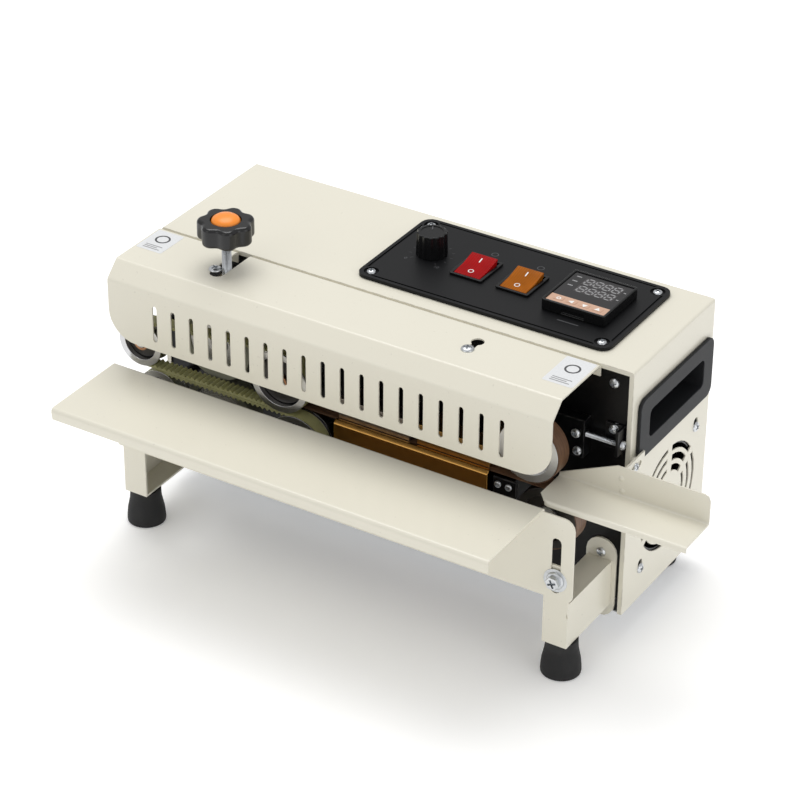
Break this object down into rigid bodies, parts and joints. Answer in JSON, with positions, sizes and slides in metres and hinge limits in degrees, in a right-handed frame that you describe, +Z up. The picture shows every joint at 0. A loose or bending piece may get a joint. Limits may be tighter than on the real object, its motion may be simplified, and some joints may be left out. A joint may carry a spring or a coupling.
{
  "type": "continuous band sealer",
  "caption": "Benchtop band sealer: cream folded-steel cabinet, slotted front cover over heated sealing bands and toothed guide belts, bag trays, top controls.",
  "frame": {"origin": "middle of the bounding box, on the floor under the feet", "axes": "+X along the bag path towards the infeed tray, +Y to the back of the cabinet, +Z up"},
  "size_m": [0.4494, 0.2546, 0.2545],
  "materials": {
    "cream": "semi-gloss powder coat",
    "black": "satin black paint",
    "panel": "fine matte texture",
    "handle": "matte moulded",
    "rubber": "matte moulded rubber",
    "chrome": "plated, turned",
    "zinc": "bright zinc plate",
    "alu": "turned",
    "bronze": "bronze anodised, brushed",
    "block": "heat-tinted machined aluminium",
    "band": "coated glass cloth",
    "belt": "moulded, slightly translucent",
    "roller": "ground rubber",
    "red": "gloss, lit from inside",
    "amber": "gloss, lit from inside",
    "orange": "satin",
    "key": "soft key pad",
    "motor": "dark enamel",
    "fan": "matte moulded",
    "mech": "machined steel"
  },
  "bodies": {
    "cabinet": {"cabinet_shell": "cream", "back_panel": "cream", "base_plate": "zinc", "front_wall": "black", "power_inlet": "panel", "right_handle": "handle", "left_handle": "handle", "front_cover": "cream", "right_leg": "cream", "left_leg": "cream", "front_foot_right": "rubber", "front_foot_left": "rubber", "rear_foot_right": "rubber", "rear_foot_left": "rubber", "tray_bolt_left": "zinc", "tray_bolt_right": "zinc", "infeed_tray": "cream", "infeed_bracket": "cream", "upper_band": "band", "lower_band": "band", "upper_guide_belt": "belt", "lower_guide_belt": "belt", "upper_cooling_block": "alu", "lower_cooling_block": "alu", "upper_heater_block": "block", "lower_heater_block": "block", "heater_guard": "bronze", "tension_bracket": "black", "drive_motor": "motor", "fan_frame": "fan", "control_panel": "panel", "red_switch_frame": "panel", "amber_switch_frame": "panel", "temperature_controller": "panel"},
    "lower_drive": {"lower_drive_wheel": "alu", "lower_drive_pulley": "chrome", "lower_drive_gear": "mech"},
    "upper_drive": {"upper_drive_wheel": "alu", "upper_drive_pulley": "chrome", "upper_drive_gear": "mech"},
    "lower_idler": {"lower_idler_wheel": "alu"},
    "upper_idler": {"upper_idler_wheel": "alu"},
    "upper_left_pulley": {"upper_left_pulley": "chrome"},
    "lower_left_pulley": {"lower_left_pulley": "chrome"},
    "lower_press_roller": {"lower_press_roller": "roller"},
    "upper_press_roller": {"upper_press_roller": "roller"},
    "press_carriage": {"press_carriage": "mech"},
    "pressure_knob": {"pressure_knob": "panel", "knob_cap": "orange"},
    "tension_block": {"tension_block": "black"},
    "tension_rod": {"tension_rod": "zinc"},
    "fan_rotor": {"fan_rotor": "fan"},
    "speed_knob": {"speed_knob": "panel"},
    "red_rocker": {"red_rocker": "red"},
    "amber_rocker": {"amber_rocker": "amber"},
    "key_set": {"key_set": "key"},
    "key_shift": {"key_shift": "key"},
    "key_down": {"key_down": "key"},
    "key_up": {"key_up": "key"},
    "front_tray": {"front_tray": "cream"}
  },
  "joints": [
    {"name": "drive_spin", "type": "hinge", "parent": "cabinet", "child": "lower_drive", "pos_m": [-0.07575, -0.03005, 0.10875], "axis": [0, 1, 0], "continuous": true},
    {"name": "upper_drive_spin", "type": "hinge", "parent": "cabinet", "child": "upper_drive", "pos_m": [-0.08835, -0.03005, 0.15565], "axis": [0, 1, 0], "continuous": true},
    {"name": "lower_idler_spin", "type": "hinge", "parent": "cabinet", "child": "lower_idler", "pos_m": [0.11375, -0.03005, 0.10875], "axis": [0, 1, 0], "continuous": true},
    {"name": "tension_slide", "type": "slide", "parent": "cabinet", "child": "tension_block", "axis": [1, 0, 0], "range_m": [-0.0028, 0]},
    {"name": "upper_idler_spin", "type": "hinge", "parent": "tension_block", "child": "upper_idler", "pos_m": [0.09865, -0.03005, 0.15565], "axis": [0, 1, 0], "continuous": true},
    {"name": "tension_turn", "type": "hinge", "parent": "cabinet", "child": "tension_rod", "pos_m": [0.14975, 0.00485, 0.15965], "axis": [1, 0, 0], "range_deg": [0, 1442]},
    {"name": "upper_left_spin", "type": "hinge", "parent": "cabinet", "child": "upper_left_pulley", "pos_m": [-0.20525, -0.03005, 0.15035], "axis": [0, 1, 0], "continuous": true},
    {"name": "lower_left_spin", "type": "hinge", "parent": "cabinet", "child": "lower_left_pulley", "pos_m": [-0.18975, -0.03005, 0.11405], "axis": [0, 1, 0], "continuous": true},
    {"name": "lower_press_spin", "type": "hinge", "parent": "cabinet", "child": "lower_press_roller", "pos_m": [-0.14935, -0.03005, 0.10405], "axis": [0, 1, 0], "continuous": true},
    {"name": "press_slide", "type": "slide", "parent": "cabinet", "child": "press_carriage", "axis": [0, 0, 1], "range_m": [0, 0.0025]},
    {"name": "upper_press_spin", "type": "hinge", "parent": "press_carriage", "child": "upper_press_roller", "pos_m": [-0.14935, -0.03005, 0.16035], "axis": [0, 1, 0], "continuous": true},
    {"name": "pressure_turn", "type": "hinge", "parent": "press_carriage", "child": "pressure_knob", "pos_m": [-0.14935, -0.01545, 0.214], "axis": [0, 0, 1], "range_deg": [0, 721.5]},
    {"name": "fan_spin", "type": "hinge", "parent": "cabinet", "child": "fan_rotor", "pos_m": [0.14025, 0.06925, 0.0857], "axis": [1, 0, 0], "continuous": true},
    {"name": "speed_turn", "type": "hinge", "parent": "cabinet", "child": "speed_knob", "pos_m": [-0.03775, 0.07195, 0.2168], "axis": [0, 0, 1], "range_deg": [-140, 140]},
    {"name": "red_tilt", "type": "hinge", "parent": "cabinet", "child": "red_rocker", "pos_m": [-0.00025, 0.06895, 0.2141], "axis": [1, 0, 0], "range_deg": [-18, 0]},
    {"name": "amber_tilt", "type": "hinge", "parent": "cabinet", "child": "amber_rocker", "pos_m": [0.03605, 0.06895, 0.2141], "axis": [1, 0, 0], "range_deg": [-18, 0]},
    {"name": "key_set_press", "type": "slide", "parent": "cabinet", "child": "key_set", "axis": [0, 0, -1], "range_m": [0, 0.0005], "stiffness_N_per_m": 500, "springref_m": -0.001},
    {"name": "key_shift_press", "type": "slide", "parent": "cabinet", "child": "key_shift", "axis": [0, 0, -1], "range_m": [0, 0.0005], "stiffness_N_per_m": 500, "springref_m": -0.001},
    {"name": "key_down_press", "type": "slide", "parent": "cabinet", "child": "key_down", "axis": [0, 0, -1], "range_m": [0, 0.0005], "stiffness_N_per_m": 500, "springref_m": -0.001},
    {"name": "key_up_press", "type": "slide", "parent": "cabinet", "child": "key_up", "axis": [0, 0, -1], "range_m": [0, 0.0005], "stiffness_N_per_m": 500, "springref_m": -0.001},
    {"name": "tray_height", "type": "slide", "parent": "cabinet", "child": "front_tray", "axis": [0, 0, 1], "range_m": [-0.029, 0.006]}
  ],
  "couplings": [
    {"joint": "upper_drive_spin", "follows": "drive_spin", "ratio": -1},
    {"joint": "lower_idler_spin", "follows": "drive_spin", "ratio": 1},
    {"joint": "upper_idler_spin", "follows": "drive_spin", "ratio": -1},
    {"joint": "upper_left_spin", "follows": "drive_spin", "ratio": -1.2944},
    {"joint": "lower_left_spin", "follows": "drive_spin", "ratio": 1.2944},
    {"joint": "lower_press_spin", "follows": "drive_spin", "ratio": 0.8375},
    {"joint": "upper_press_spin", "follows": "drive_spin", "ratio": -0.8375},
    {"joint": "pressure_turn", "follows": "press_slide", "rad_per_m": 5026.5},
    {"joint": "tension_turn", "follows": "tension_slide", "rad_per_m": -8976}
  ]
}
